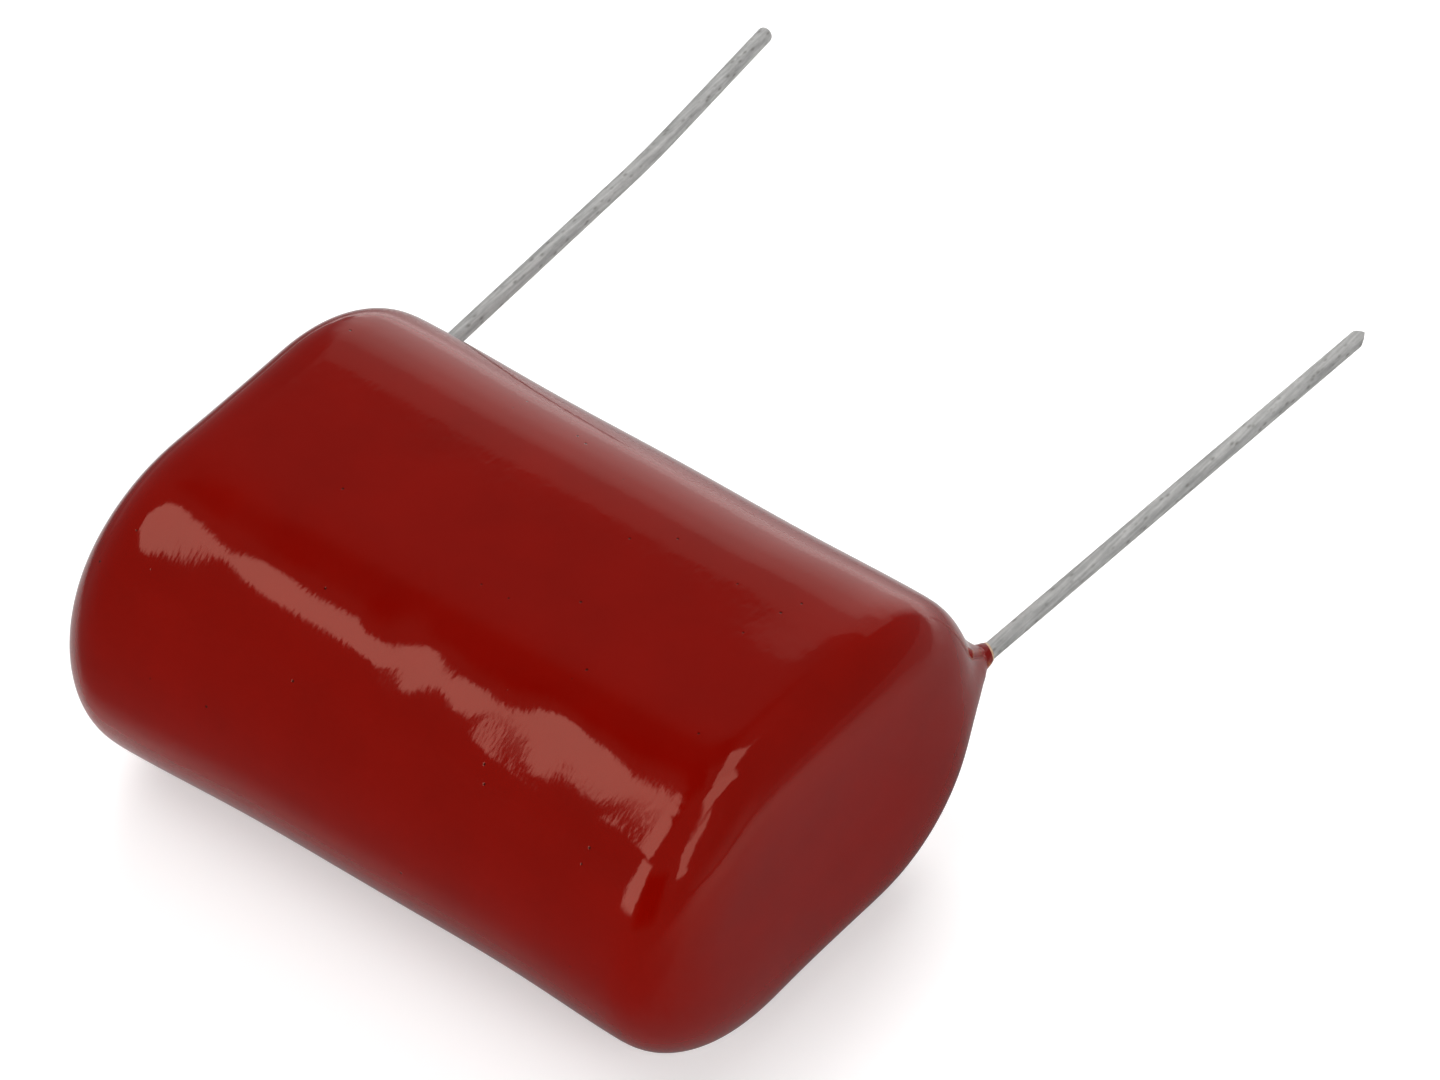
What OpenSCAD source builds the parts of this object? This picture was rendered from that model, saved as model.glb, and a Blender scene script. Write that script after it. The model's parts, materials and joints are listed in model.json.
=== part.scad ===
// Dipped metallised film capacitor with two radial wire leads, lying on its broad face.
// +X runs along the film roll's axis, +Y toward the tips of the leads and +Z up.
// The origin is the centre of the flat that the body rests on. All sizes are millimetres.

/* [Coating] */
// Length of the coated body, along the roll's axis
body_l = 35.2; // [34.6:0.1:40]
// Width of the coated body, from its back edge to the edge with the leads
body_w = 24.7; // [24.4:0.1:30]
// Thickness of the coated body
body_t = 16.7; // [15.6:0.1:20]
// Width of the flat along the belly and the top
flat_w = 7.4; // [5:0.1:9]
// Rounding of the ends, as a share of the half section
end_round = 0.48; // [0.3:0.01:0.55]
// How far along the body the rounding of an end reaches
end_reach = 3; // [2:0.1:3.6]
// Bulge of an end face
end_dome = 0.1; // [0:0.05:0.3]
// Rise of the middle of the top
top_crown = 0.2; // [0:0.05:0.5]
// How much longer the body is along the edge with the leads than along the back edge
edge_gain = 0.2; // [0:0.05:0.8]

/* [Film roll] */
// Length of the roll between its sprayed ends
roll_l = 30; // [29.7:0.1:30]
// Width of the flattened roll
roll_w = 22.2; // [18:0.1:22.4]
// Thickness of the flattened roll
roll_t = 13.4; // [10:0.1:13.6]
// Height of the roll's middle above the body's middle
roll_rise = 0.2; // [0:0.05:0.4]
// Width of the closed slit that the winding pin leaves
slit_w = 8.4; // [4:0.1:8.8]
// Gap left in that slit
slit_gap = 0.15; // [0.1:0.05:0.3]
// Thickness of the zinc sprayed on each end
spray_t = 0.55; // [0.4:0.05:0.6]
// Bevel round the outer edge of the sprayed zinc
spray_edge = 0.25; // [0.1:0.05:0.3]

/* [Leads] */
// Diameter of the wire
wire_d = 0.8; // [0.6:0.1:1]
// Distance between the two leads where they leave the coating
pitch = 31.5; // [31.5:0.1:31.7]
// How far each lead stands out of the coating
lead_out = 27; // [20:0.1:40]
// Length of wire inside the body, lying on the sprayed end
lead_in = 16; // [10:0.1:20]
// Outward splay of the first lead
splay_a = 1.8; // [0.5:0.1:4]
// Outward splay of the second lead
splay_b = 3.5; // [0.5:0.1:4]
// Outward kink further along the first lead
kink = 3.5; // [1:0.1:8]
// Length of the part with that kink
kink_l = 6.2; // [3:0.1:8]
// Straight length of the first lead past its kink
free_l = 6.6; // [4:0.1:10]

/* [Hidden] */
$fn = 64;

wire_r = wire_d / 2;
half_l = body_l / 2;
half_t = body_t / 2;
flat_hw = flat_w / 2;
side_w = body_w / 2 - flat_hw;
straight_hl = half_l - end_dome - end_reach;
lead_x = pitch / 2;
lead_z = roll_rise;

// Epoxy drawn up the leads: height and reach of the swelling, then the collar round the wire
draw_h = 1.2;
draw_reach = 1.2;
collar_top = body_w / 2 + 1;
collar_foot = body_w / 2 - 1.8;
collar_lip = 0.06;
collar_flare = [0.4, 1.2];
// Ends of a lead's straight stretch: on the sprayed end, and a little past the collar
lead_foot = body_w / 2 - lead_in;
bare = 0.1;
bend_y = collar_top + bare;
// Knuckles that the first lead's kink is spread over, and how far they stand proud of the wire
kink_turns = 3;
knuckle = 0.005;
// Angles between the second lead's axis and its two cutter marks, and their turn about it
cut_angles = [40, 58];
cut_turn = 31;
// Rounding of the first lead's tip
tip_round = 0.3;

// Steps of the coating's surface: across an end face, round an end, along the body,
// round a side and across a flat
face_steps = 5;
bend_steps = 10;
long_steps = 24;
side_steps = 40;
flat_steps = 6;
// Share of the section at which the middle of an end face is closed
face_core = 0.16;
// Width over which the top is crowned
crown_w = 0.9 * body_w;
// The coating is flat where it comes this near to what it rests on
settle = 0.03;

// Uneven places in the coating: [x, y, z, reach, height] about the body's middle
SWELLS = [
    [17, 6, -3, 5, 0.2],
    [17, -8, -3, 4, 0.2],
    [-17, -8, 2, 5, 0.4],
    [-14, -12, -4, 6, 0.3],
    [0, -12, -4, 7, 0.08],
    [14, -12, -4, 5, 0.3],
    [-13, 10, 5, 6, 0.2],
    [0, 10, 5, 6, 0.1],
    [13, 9, 6, 4, 0.1],
];

// ---- Coating -------------------------------------------------------------------------------

// Stations are [x, share of the full section, angle of the surface's normal from the end's]
function end_station(k, end) =
    k < face_steps
    ? let (q = face_core + (1 - end_round - face_core) * k / face_steps)
        [end * (half_l - end_dome * pow(q / (1 - end_round), 2)), q, 0, end]
    : let (t = 90 * (k - face_steps) / bend_steps)
        [end * (half_l - end_dome - end_reach * (1 - cos(t))),
         1 - end_round * (1 - sin(t)), t, end];

end_steps = face_steps + bend_steps;
stations = concat(
    [for (k = [0 : end_steps]) end_station(k, -1)],
    [for (k = [1 : long_steps - 1]) [straight_hl * (2 * k / long_steps - 1), 1, 90, 0]],
    [for (k = [end_steps : -1 : 0]) end_station(k, 1)]);

// Points round the section are [side of the flat, sideways share, upward share],
// from the edge with the leads over the top
function round_side(edge, from, steps) =
    [for (k = [0 : steps]) let (u = from + 180 * k / side_steps) [edge, cos(u), sin(u)]];
function flat(edge, up) =
    [for (k = [1 : flat_steps - 1]) [edge * (1 - 2 * k / flat_steps), 0, up]];
rim = concat(
    round_side(1, 0, side_steps / 2),
    flat(1, 1),
    round_side(-1, 90, side_steps),
    flat(-1, -1),
    round_side(1, -90, side_steps / 2 - 1));

function crown(y, up) = top_crown * max(0, up) * max(0, 1 - pow(2 * y / crown_w, 2));
function lengthening(y) = 1 + edge_gain * y / (body_w * body_l);
function swelling(p) =
    [for (s = SWELLS) s[4] * exp(-pow(norm(p - [s[0], s[1], s[2]]) / s[3], 2))]
    * [for (s = SWELLS) 1];
function drawn_up(p) =
    draw_h * exp(-(pow(abs(p[0]) - lead_x, 2) + pow(p[2] - lead_z, 2)) / pow(draw_reach, 2));
function outward(station, w) =
    let (across = [w[1] / side_w, w[2] / half_t] / norm([w[1] / side_w, w[2] / half_t]))
    [station[3] * cos(station[2]), across[0] * sin(station[2]), across[1] * sin(station[2])];
function settled(p) = [p[0], p[1], p[2] < settle - half_t ? -half_t : p[2]];

function skin_point(station, w) =
    let (y = flat_hw * w[0] + side_w * station[1] * w[1],
         z = half_t * station[1] * w[2] + crown(y, w[2]) * station[1],
         p = [station[0] * lengthening(y), y, z],
         q = p + outward(station, w) * swelling(p))
    settled(w[1] > 0 ? q + [0, drawn_up(q), 0] : q);

module skin() {
    n = len(rim);
    last = n * (len(stations) - 1);
    points = [for (s = stations, w = rim) skin_point(s, w)];
    sides = [for (i = [0 : len(stations) - 2], m = [0 : n - 1])
        let (a = i * n + m, b = i * n + (m + 1) % n)
        each [[a, a + n, b + n], [a, b + n, b]]];
    near_cap = [for (m = [0 : n / 2 - 1])
        each [if (m < n / 2 - 1) [m, m + 1, n - m - 1], if (m > 0) [m, n - m - 1, n - m]]];
    far_cap = [for (f = near_cap) [f[2] + last, f[1] + last, f[0] + last]];
    translate([0, 0, half_t]) polyhedron(points, concat(sides, near_cap, far_cap));
}

// Collar of epoxy round a lead, feathered out along the wire
module collar(x) {
    lip = wire_r + collar_lip;
    flare = [for (a = [0 : 10 : 90])
        [lip + collar_flare[0] * (1 - cos(a)), collar_top - collar_flare[1] * sin(a)]];
    translate([x, 0, half_t + lead_z]) rotate([-90, 0, 0])
        rotate_extrude() polygon(concat([[0, collar_foot], [0, collar_top]], flare,
            [[lip + collar_flare[0], collar_foot]]));
}

module epoxy_coating() {
    color("#7e150d") difference() {
        union() {
            skin();
            for (x = [-lead_x, lead_x]) collar(x);
        }
        roll_envelope();
        for (x = [-lead_x, lead_x]) straight_lead(x);
    }
}

// ---- Film roll and its sprayed ends --------------------------------------------------------

// Flattened outline of the roll
module racetrack(w, t) {
    square([w - t, t], center = true);
    for (s = [-1, 1]) translate([s * (w - t) / 2, 0]) circle(d = t);
}

// Stands a shape drawn on the ground plane on the end of the roll, facing +X
module on_end(x) {
    translate([x, 0, half_t + roll_rise]) rotate([90, 0, 90]) children();
}

module film_winding() {
    color("#d9d3c3") on_end(-roll_l / 2) linear_extrude(roll_l) difference() {
        racetrack(roll_w, roll_t);
        square([slit_w, slit_gap], center = true);
    }
}

// Sprayed zinc: a plate of the roll's outline with a bevelled outer edge
module spray_plate() {
    step = spray_t - spray_edge;
    straight = roll_w - roll_t;
    linear_extrude(step) racetrack(roll_w, roll_t);
    translate([0, 0, step]) {
        for (s = [-1, 1]) translate([s * straight / 2, 0, 0])
            cylinder(d1 = roll_t, d2 = roll_t - 2 * spray_edge, h = spray_edge);
        rotate([90, 0, 90]) linear_extrude(straight, center = true) polygon([
            [-roll_t / 2, 0], [roll_t / 2, 0],
            [roll_t / 2 - spray_edge, spray_edge], [spray_edge - roll_t / 2, spray_edge]]);
    }
}

module facing(end) {
    if (end > 0) children();
    else mirror([1, 0, 0]) children();
}

module end_contact(end) {
    color("#8f9296") difference() {
        facing(end) on_end(roll_l / 2) spray_plate();
        straight_lead(end * lead_x);
    }
}

module end_contact_a() { end_contact(-1); }
module end_contact_b() { end_contact(1); }

// Everything that the coating was cast round, but for the leads
module roll_envelope() {
    on_end(-roll_l / 2) linear_extrude(roll_l) racetrack(roll_w, roll_t);
    for (end = [-1, 1]) facing(end) on_end(roll_l / 2) spray_plate();
}

// ---- Leads ---------------------------------------------------------------------------------

// The stretch of a lead that lies on the sprayed end and leaves through the collar
module straight_lead(x) {
    translate([x, lead_foot, half_t + lead_z])
        rotate([-90, 0, 0]) cylinder(d = wire_d, h = bend_y - lead_foot);
}

// What follows a straight lead, from the place where it first bends
module beyond_collar(x) {
    translate([x, bend_y, half_t + lead_z]) children();
}

// Straight wire along +Y, with what follows it as children
module straight(length) {
    rotate([-90, 0, 0]) cylinder(d = wire_d, h = length);
    translate([0, length, 0]) children();
}

// Bend toward -X at a knuckle a hair thicker than the wire, with what follows it as children
module turned(angle) {
    sphere(r = wire_r + knuckle);
    rotate([0, 0, angle]) children();
}

// Bend spread over several knuckles, with what follows it as children
module kinked(turns) {
    if (turns == 0) children();
    else turned(kink / kink_turns) straight(kink_l / kink_turns) kinked(turns - 1) children();
}

// Straight end stretch with its tip rounded over
module rounded_end(length) {
    arc = [for (a = [0 : 15 : 90])
        [wire_r - tip_round * (1 - cos(a)), length - tip_round * (1 - sin(a))]];
    rotate([-90, 0, 0]) rotate_extrude() polygon(concat([[0, 0], [wire_r, 0]], arc, [[0, length]]));
}

// Straight end stretch that side cutters have pinched to an uneven wedge
module pinched_end(length) {
    drop = [for (angle = cut_angles) wire_d / tan(angle)];
    rotate([-90, cut_turn, 0]) intersection() {
        cylinder(d = wire_d, h = length + wire_d);
        rotate([90, 0, 0]) linear_extrude(2 * wire_d, center = true) polygon([
            [-wire_d, -wire_d], [wire_d, -wire_d], [wire_d, length - drop[0]],
            [0, length], [-wire_d, length - drop[1]]]);
    }
}

module lead_a() {
    color("#a3a3a1") {
        straight_lead(-lead_x);
        beyond_collar(-lead_x) turned(splay_a)
            straight(lead_out - kink_l - free_l) kinked(kink_turns) rounded_end(free_l);
    }
}

module lead_b() {
    color("#a3a3a1") {
        straight_lead(lead_x);
        beyond_collar(lead_x) turned(-splay_b) pinched_end(lead_out);
    }
}

epoxy_coating();
film_winding();
end_contact_a();
end_contact_b();
lead_a();
lead_b();
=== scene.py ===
import json
import math

import bmesh
import bpy
from mathutils import Matrix, Vector

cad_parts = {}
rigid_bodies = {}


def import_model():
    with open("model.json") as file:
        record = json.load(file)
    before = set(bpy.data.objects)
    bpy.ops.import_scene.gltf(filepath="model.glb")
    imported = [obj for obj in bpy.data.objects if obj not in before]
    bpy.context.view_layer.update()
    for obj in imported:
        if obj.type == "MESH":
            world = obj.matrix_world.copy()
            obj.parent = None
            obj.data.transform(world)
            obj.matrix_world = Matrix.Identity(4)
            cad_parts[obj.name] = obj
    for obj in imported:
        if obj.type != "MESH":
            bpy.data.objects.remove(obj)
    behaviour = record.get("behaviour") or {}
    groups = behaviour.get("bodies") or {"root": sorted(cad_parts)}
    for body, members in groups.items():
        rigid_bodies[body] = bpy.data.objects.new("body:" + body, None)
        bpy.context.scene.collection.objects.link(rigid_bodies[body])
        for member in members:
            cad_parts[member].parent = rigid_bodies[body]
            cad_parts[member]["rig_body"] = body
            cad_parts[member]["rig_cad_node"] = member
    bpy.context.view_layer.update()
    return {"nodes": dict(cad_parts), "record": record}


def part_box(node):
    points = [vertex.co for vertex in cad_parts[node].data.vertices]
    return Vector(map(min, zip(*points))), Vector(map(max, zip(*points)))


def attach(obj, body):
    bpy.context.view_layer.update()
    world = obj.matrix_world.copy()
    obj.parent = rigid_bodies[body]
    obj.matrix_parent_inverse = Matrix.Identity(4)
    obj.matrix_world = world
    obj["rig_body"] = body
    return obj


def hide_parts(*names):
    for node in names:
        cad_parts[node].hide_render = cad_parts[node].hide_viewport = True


bl_info = {
    "name": "Dipped film capacitor",
    "version": (1, 0, 0),
    "blender": (4, 5, 0),
    "location": "View3D > Sidebar > Capacitor",
    "description": "Builds the finish of an epoxy dipped film capacitor around its CAD frame",
    "category": "Object",
}

MM = 0.001
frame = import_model()

BODY_LOW, BODY_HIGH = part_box("epoxy_coating")
BODY_MIDDLE = (BODY_LOW + BODY_HIGH) / 2
LEAD_LOW, LEAD_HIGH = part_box("lead_b")
WIRE_RADIUS = (LEAD_HIGH.z - LEAD_LOW.z) / 2
# The middle of the straight lead's inner end; the other lead's is opposite
WIRE_FOOT = Vector((LEAD_LOW.x + WIRE_RADIUS, LEAD_LOW.y, (LEAD_LOW.z + LEAD_HIGH.z) / 2))
MOUNTS = {mount["name"]: mount for mount in frame["record"]["mounts"]}
# How far from its place a part of the CAD's mesh, or of a piece made here, is still taken for it
SLACK, CLOSE = 0.05 * MM, 0.01 * MM
# Points closer than this are one point to a merge or a cut
EXACT = 0.0001 * MM
# Sides of a round wire, and of the rings round it
SIDES = 48


# ---------------------------------------------------------------- colours and nodes

def linear(hex_colour):
    """An sRGB hex colour as the linear RGBA that a shader socket takes."""
    channels = [int(hex_colour[i:i + 2], 16) / 255 for i in (0, 2, 4)]
    levels = [c / 12.92 if c <= 0.04045 else ((c + 0.055) / 1.055) ** 2.4 for c in channels]
    return (*levels, 1.0)


# A Mix node's sockets share their names, so they go by number: its factor, its two colours, its two
# plain values, and the mixed colour
FACTOR, COLOUR_A, COLOUR_B, VALUE_A, VALUE_B, MIXED = 0, 6, 7, 2, 3, 2


def add_node(material, kind, inputs=None, **settings):
    """Adds a node to a material, sets its properties, and fills or links its inputs."""
    node = material.node_tree.nodes.new(kind)
    for name, value in settings.items():
        setattr(node, name, value)
    for socket, value in (inputs or {}).items():
        if isinstance(value, bpy.types.NodeSocket):
            material.node_tree.links.new(value, node.inputs[socket])
        else:
            node.inputs[socket].default_value = value
    return node


def new_material(name):
    """An empty node material with its output node."""
    material = bpy.data.materials.new(name)
    material.use_nodes = True
    material.node_tree.nodes.clear()
    add_node(material, "ShaderNodeOutputMaterial")
    return material


def finish_material(material, shader):
    """Links the last shader to the output."""
    output = material.node_tree.nodes["Material Output"]
    material.node_tree.links.new(shader, output.inputs["Surface"])
    return material


# ---------------------------------------------------------------- materials

def dipped_epoxy(settings):
    """Pigmented epoxy, dipped and oven cured: a glossy skin with a soft orange peel, a few
    pinholes where air came out, and pigment that is a little uneven."""
    material = new_material("dipped epoxy")
    place = add_node(material, "ShaderNodeTexCoord").outputs["Object"]
    clouds = add_node(material, "ShaderNodeTexNoise",
                      {"Vector": place, "Scale": 1 / (4 * MM), "Detail": 3.0,
                       "Roughness": 0.6}).outputs["Fac"]
    pigment = add_node(material, "ShaderNodeMix",
                       {FACTOR: clouds, COLOUR_A: linear(settings.dark),
                        COLOUR_B: linear(settings.light)}, data_type="RGBA").outputs[MIXED]
    pores = add_node(material, "ShaderNodeTexVoronoi", {"Vector": place, "Scale": 1 / (1.7 * MM)})
    pore = add_node(material, "ShaderNodeMapRange",
                    {"Value": pores.outputs["Distance"], "From Min": 0.025, "From Max": 0.05,
                     "To Min": 1.0, "To Max": 0.0}).outputs["Result"]
    colour = add_node(material, "ShaderNodeMix",
                      {FACTOR: pore, COLOUR_A: pigment,
                       COLOUR_B: linear(settings.pore)}, data_type="RGBA").outputs[MIXED]
    peel = add_node(material, "ShaderNodeTexNoise",
                    {"Vector": place, "Scale": 1 / (settings.peel * MM), "Detail": 1.0}).outputs["Fac"]
    peel_bump = add_node(material, "ShaderNodeBump",
                         {"Height": peel, "Strength": 1.0, "Distance": 0.003 * MM}).outputs["Normal"]
    # Fine runs, 0.2 mm apart, left as the epoxy flowed down: they feather the edge of a reflection
    down = add_node(material, "ShaderNodeMapping",
                    {"Vector": place, "Scale": (1.0, 0.4, 0.4)}).outputs["Vector"]
    runs = add_node(material, "ShaderNodeTexNoise",
                    {"Vector": down, "Scale": 1 / (0.2 * MM), "Detail": 1.0}).outputs["Fac"]
    run_bump = add_node(material, "ShaderNodeBump",
                        {"Height": runs, "Strength": 1.0, "Distance": 0.003 * MM,
                         "Normal": peel_bump}).outputs["Normal"]
    bump = add_node(material, "ShaderNodeBump",
                    {"Height": pore, "Strength": 0.5, "Distance": 0.02 * MM, "Normal": run_bump},
                    invert=True).outputs["Normal"]
    shader = add_node(material, "ShaderNodeBsdfPrincipled",
                      {"Base Color": colour, "Roughness": settings.roughness, "IOR": 1.5,
                       "Specular Tint": linear(settings.sheen), "Normal": bump})
    return finish_material(material, shader.outputs["BSDF"])


def thin_epoxy_painted_glow(settings):
    """The same epoxy drawn out thin beside the wire. Its lower side is painted with an amber glow that
    stands in for light shining through it; the upper side is left dark."""
    material = new_material("thin epoxy")
    place = add_node(material, "ShaderNodeTexCoord").outputs["Object"]
    height = add_node(material, "ShaderNodeSeparateXYZ", {"Vector": place}).outputs["Z"]
    # Painted light: above the wire's middle the colour stays dark, below it turns to the amber glow
    upper = add_node(material, "ShaderNodeMapRange",
                     {"Value": height, "From Min": WIRE_FOOT.z - 0.1 * MM,
                      "From Max": WIRE_FOOT.z + 0.35 * MM},
                     interpolation_type="SMOOTHSTEP").outputs["Result"]
    streaks = add_node(material, "ShaderNodeTexNoise",
                       {"Vector": place, "Scale": 1 / (0.22 * MM), "Detail": 3.0,
                        "Roughness": 0.6}).outputs["Fac"]
    patch = add_node(material, "ShaderNodeMapRange",
                     {"Value": streaks, "From Min": 0.4, "From Max": 0.62}).outputs["Result"]
    # Painted glow: amber streaks standing in for light shining through the thin epoxy
    amber = add_node(material, "ShaderNodeMix",
                     {FACTOR: patch, COLOUR_A: linear(settings.dark),
                      COLOUR_B: linear(settings.thin)}, data_type="RGBA").outputs[MIXED]
    colour = add_node(material, "ShaderNodeMix",
                      {FACTOR: upper, COLOUR_A: amber,
                       COLOUR_B: linear(settings.dark)}, data_type="RGBA").outputs[MIXED]
    shader = add_node(material, "ShaderNodeBsdfPrincipled",
                      {"Base Color": colour, "Roughness": settings.roughness, "IOR": 1.5})
    return finish_material(material, shader.outputs["BSDF"])


def cream_ring_finish(settings):
    """A thin ring round the wire's root, streaked cream and amber, and glossy."""
    material = new_material("pale epoxy film")
    place = add_node(material, "ShaderNodeTexCoord").outputs["Object"]
    streaks = add_node(material, "ShaderNodeTexNoise",
                       {"Vector": place, "Scale": 1 / (0.25 * MM), "Detail": 2.0}).outputs["Fac"]
    colour = add_node(material, "ShaderNodeMix",
                      {FACTOR: streaks, COLOUR_A: linear(settings.thin),
                       COLOUR_B: linear(settings.pale)}, data_type="RGBA").outputs[MIXED]
    shader = add_node(material, "ShaderNodeBsdfPrincipled",
                      {"Base Color": colour, "Roughness": 0.25, "IOR": 1.5})
    return finish_material(material, shader.outputs["BSDF"])


def tinned_wire(settings):
    """Copper-clad steel wire, hot tinned: a dull grey metal skin, mottled and streaked along the
    wire, with small darker pits, and smoother close to the coating, where handling spared it."""
    material = new_material("tinned wire")
    place = add_node(material, "ShaderNodeTexCoord").outputs["Object"]
    along = add_node(material, "ShaderNodeMapping",
                     {"Vector": place, "Scale": (1.0, 0.45, 1.0)}).outputs["Vector"]
    mottle = add_node(material, "ShaderNodeTexNoise",
                      {"Vector": along, "Scale": 1 / (0.5 * MM), "Detail": 6.0,
                       "Roughness": 0.75}).outputs["Fac"]
    patches = add_node(material, "ShaderNodeMapRange",
                       {"Value": mottle, "From Min": 0.3, "From Max": 0.7}).outputs["Result"]
    # Marks of the drawing die, 0.13 mm apart: the real ones are finer
    drawn = add_node(material, "ShaderNodeMapping",
                     {"Vector": place, "Scale": (1.0, 0.04, 1.0)}).outputs["Vector"]
    marks = add_node(material, "ShaderNodeTexNoise",
                     {"Vector": drawn, "Scale": 1 / (0.13 * MM), "Detail": 2.0}).outputs["Fac"]
    lines = add_node(material, "ShaderNodeMapRange",
                     {"Value": marks, "From Min": 0.35, "From Max": 0.65}).outputs["Result"]
    rubbed = add_node(material, "ShaderNodeMix",
                      {FACTOR: 0.45, VALUE_A: patches, VALUE_B: lines}).outputs[0]
    metal = add_node(material, "ShaderNodeMix",
                     {FACTOR: rubbed, COLOUR_A: linear(settings.dull),
                      COLOUR_B: linear(settings.bright)}, data_type="RGBA").outputs[MIXED]
    pits = add_node(material, "ShaderNodeTexVoronoi", {"Vector": along, "Scale": 1 / (0.3 * MM)})
    pit = add_node(material, "ShaderNodeMapRange",
                   {"Value": pits.outputs["Distance"], "From Min": 0.08, "From Max": 0.3,
                    "To Min": 0.8, "To Max": 0.0}).outputs["Result"]
    colour = add_node(material, "ShaderNodeMix",
                      {FACTOR: pit, COLOUR_A: metal,
                       COLOUR_B: linear(settings.pit)}, data_type="RGBA").outputs[MIXED]
    bump = add_node(material, "ShaderNodeBump",
                    {"Height": mottle, "Strength": 0.6, "Distance": 0.03 * MM}).outputs["Normal"]
    out = add_node(material, "ShaderNodeSeparateXYZ", {"Vector": place}).outputs["Y"]
    roughness = add_node(material, "ShaderNodeMapRange",
                         {"Value": out, "From Min": BODY_HIGH.y, "From Max": BODY_HIGH.y + 5 * MM,
                          "To Min": settings.smooth, "To Max": settings.roughness},
                         interpolation_type="SMOOTHSTEP").outputs["Result"]
    shader = add_node(material, "ShaderNodeBsdfPrincipled",
                      {"Base Color": colour, "Metallic": 0.5, "Roughness": roughness, "Normal": bump})
    return finish_material(material, shader.outputs["BSDF"])


def sprayed_zinc(settings):
    """Zinc sprayed molten on the roll's ends: matt, grey and grainy like fine cast sand."""
    material = new_material("sprayed zinc")
    place = add_node(material, "ShaderNodeTexCoord").outputs["Object"]
    grains = add_node(material, "ShaderNodeTexNoise",
                      {"Vector": place, "Scale": 1 / (0.18 * MM), "Detail": 5.0,
                       "Roughness": 0.7}).outputs["Fac"]
    colour = add_node(material, "ShaderNodeMix",
                      {FACTOR: grains, COLOUR_A: linear(settings.zinc_dark),
                       COLOUR_B: linear(settings.zinc_light)}, data_type="RGBA").outputs[MIXED]
    bump = add_node(material, "ShaderNodeBump",
                    {"Height": grains, "Strength": 0.8, "Distance": 0.1 * MM}).outputs["Normal"]
    shader = add_node(material, "ShaderNodeBsdfPrincipled",
                      {"Base Color": colour, "Metallic": 1.0, "Roughness": 0.7, "Normal": bump})
    return finish_material(material, shader.outputs["BSDF"])


def metallised_film(settings):
    """Polypropylene film with an aluminium layer, wound and pressed flat: silvery, with fine lines
    where its turns end."""
    material = new_material("metallised film")
    place = add_node(material, "ShaderNodeTexCoord").outputs["Object"]
    across = add_node(material, "ShaderNodeMapping",
                      {"Vector": place, "Scale": (12.0, 1.0, 1.0)}).outputs["Vector"]
    lines = add_node(material, "ShaderNodeTexNoise",
                     {"Vector": across, "Scale": 1 / (6 * MM), "Detail": 4.0}).outputs["Fac"]
    colour = add_node(material, "ShaderNodeMix",
                      {FACTOR: lines, COLOUR_A: linear(settings.film_dark),
                       COLOUR_B: linear(settings.film_light)}, data_type="RGBA").outputs[MIXED]
    bump = add_node(material, "ShaderNodeBump",
                    {"Height": lines, "Strength": 0.3, "Distance": 0.02 * MM}).outputs["Normal"]
    shader = add_node(material, "ShaderNodeBsdfPrincipled",
                      {"Base Color": colour, "Metallic": 0.7, "Roughness": 0.3, "Normal": bump})
    return finish_material(material, shader.outputs["BSDF"])


def studio_paper(settings):
    """Matt white paper, so the floor has no gloss of its own. A low glow lifts it to plain white
    where it is seen, and leaves the light on the capacitor as it is."""
    material = new_material("studio paper")
    paper = add_node(material, "ShaderNodeBsdfDiffuse",
                     {"Color": linear(settings.paper)}).outputs["BSDF"]
    path = add_node(material, "ShaderNodeLightPath")
    direct = add_node(material, "ShaderNodeMath",
                      {0: path.outputs["Is Camera Ray"], 1: path.outputs["Is Glossy Ray"]},
                      operation="ADD").outputs["Value"]
    seen = add_node(material, "ShaderNodeMath", {0: direct, 1: path.outputs["Is Transmission Ray"]},
                    operation="ADD").outputs["Value"]
    lift = add_node(material, "ShaderNodeMath", {0: seen, 1: settings.lift},
                    operation="MULTIPLY").outputs["Value"]
    glow = add_node(material, "ShaderNodeEmission", {"Strength": lift}).outputs["Emission"]
    shader = add_node(material, "ShaderNodeAddShader", {0: paper, 1: glow})
    return finish_material(material, shader.outputs["Shader"])


def card_face(name, strength, soft):
    """A glowing card, or at strength 0 a black flag, that fades out towards its edges."""
    material = new_material(name)
    place = add_node(material, "ShaderNodeTexCoord").outputs["Object"]
    apart = add_node(material, "ShaderNodeSeparateXYZ", {"Vector": place})
    reach = []
    for axis, fade in zip("XY", soft):
        off = add_node(material, "ShaderNodeMath", {0: apart.outputs[axis]},
                       operation="ABSOLUTE").outputs["Value"]
        reach.append(add_node(material, "ShaderNodeMapRange",
                              {"Value": off, "From Min": 0.5 - fade, "From Max": 0.5,
                               "To Min": 1.0, "To Max": 0.0},
                              interpolation_type="SMOOTHSTEP").outputs["Result"])
    cover = add_node(material, "ShaderNodeMath", {0: reach[0], 1: reach[1]},
                     operation="MULTIPLY").outputs["Value"]
    clear = add_node(material, "ShaderNodeBsdfTransparent").outputs["BSDF"]
    glow = add_node(material, "ShaderNodeEmission", {"Strength": strength}).outputs["Emission"]
    shader = add_node(material, "ShaderNodeMixShader", {0: cover, 1: clear, 2: glow})
    return finish_material(material, shader.outputs["Shader"])


# ---------------------------------------------------------------- modelling helpers

def deselect():
    """Object mode, with nothing selected."""
    if bpy.context.object and bpy.context.object.mode != "OBJECT":
        bpy.ops.object.mode_set(mode="OBJECT")
    bpy.ops.object.select_all(action="DESELECT")


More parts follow.
